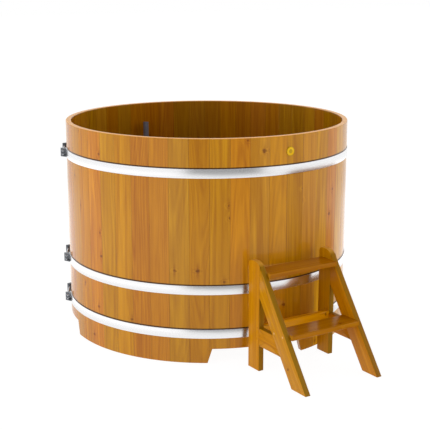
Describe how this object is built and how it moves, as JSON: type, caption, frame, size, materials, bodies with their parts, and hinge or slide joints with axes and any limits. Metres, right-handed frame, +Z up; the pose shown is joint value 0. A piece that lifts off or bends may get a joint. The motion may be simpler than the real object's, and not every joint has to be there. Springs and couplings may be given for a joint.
{
  "type": "round wooden plunge tub",
  "caption": "Round wooden plunge tub of hooped staves on cut-out feet, with a floor drain, an overflow standpipe and a free-standing pair of wooden steps.",
  "frame": {"origin": "on the tub's axis, on the ground that the feet stand on", "axes": "+Z up; -Y towards the steps at the tub's front; +X to the right of someone who faces the steps"},
  "size_m": [1.4965, 1.9653, 1.1],
  "materials": {
    "stave_larch": "varnished larch, glossy",
    "floor_larch": "varnished larch",
    "batten_larch": "planed larch",
    "step_larch": "varnished larch, glossy",
    "tread_larch": "varnished larch, glossy",
    "plug_wood": "end-grain plug",
    "dowel_beech": "planed beech",
    "hoop_steel": "bright rolled stainless steel",
    "lug_steel": "pressed stainless steel",
    "bolt_steel": "stainless steel",
    "nut_steel": "stainless steel",
    "screw_steel": "stainless steel",
    "clip_steel": "stainless steel",
    "badge_enamel": "glossy yellow enamel",
    "drain_chrome": "polished",
    "drain_rubber": "matt black",
    "pipe_plastic": "grey rigid pipe"
  },
  "bodies": {
    "tub": {"front_foot_staves_left": "stave_larch", "front_foot_staves_mid": "stave_larch", "front_foot_staves_right": "stave_larch", "front_arch_staves": "stave_larch", "left_arch_staves": "stave_larch", "right_arch_staves": "stave_larch", "left_foot_staves_1": "stave_larch", "left_foot_staves_2": "stave_larch", "left_foot_staves_3": "stave_larch", "left_foot_staves_4": "stave_larch", "right_foot_staves_1": "stave_larch", "right_foot_staves_2": "stave_larch", "right_foot_staves_3": "stave_larch", "right_foot_staves_4": "stave_larch", "floor_boards_left": "floor_larch", "floor_boards_middle": "floor_larch", "floor_boards_right": "floor_larch", "floor_battens": "batten_larch", "batten_screws": "screw_steel", "bottom_hoop": "hoop_steel", "middle_hoop": "hoop_steel", "top_hoop": "hoop_steel", "bottom_lugs": "lug_steel", "middle_lugs": "lug_steel", "top_lugs": "lug_steel", "bottom_tension_bolts": "bolt_steel", "middle_tension_bolts": "bolt_steel", "top_tension_bolts": "bolt_steel", "bottom_nuts": "nut_steel", "middle_nuts": "nut_steel", "top_nuts": "nut_steel", "badge": "badge_enamel", "drain_body": "drain_chrome", "drain_gasket": "drain_rubber", "drain_washer": "drain_rubber", "drain_nut": "drain_chrome", "pipe_clips": "clip_steel", "clip_screws": "screw_steel"},
    "standpipe": {"standpipe": "pipe_plastic"},
    "steps": {"left_post": "step_larch", "right_post": "step_larch", "left_stringer": "step_larch", "right_stringer": "step_larch", "left_side_rail": "step_larch", "right_side_rail": "step_larch", "rear_rail": "step_larch", "upper_tread": "tread_larch", "lower_tread": "tread_larch", "step_screws": "screw_steel", "step_plugs": "plug_wood", "frame_dowels": "dowel_beech"}
  },
  "joints": [
    {"name": "standpipe_lift", "type": "slide", "parent": "tub", "child": "standpipe", "axis": [0, 0, 1], "range_m": [0, 0.15]},
    {"name": "steps_pull", "type": "slide", "parent": "tub", "child": "steps", "axis": [0, -1, 0], "range_m": [0, 0.5]}
  ]
}
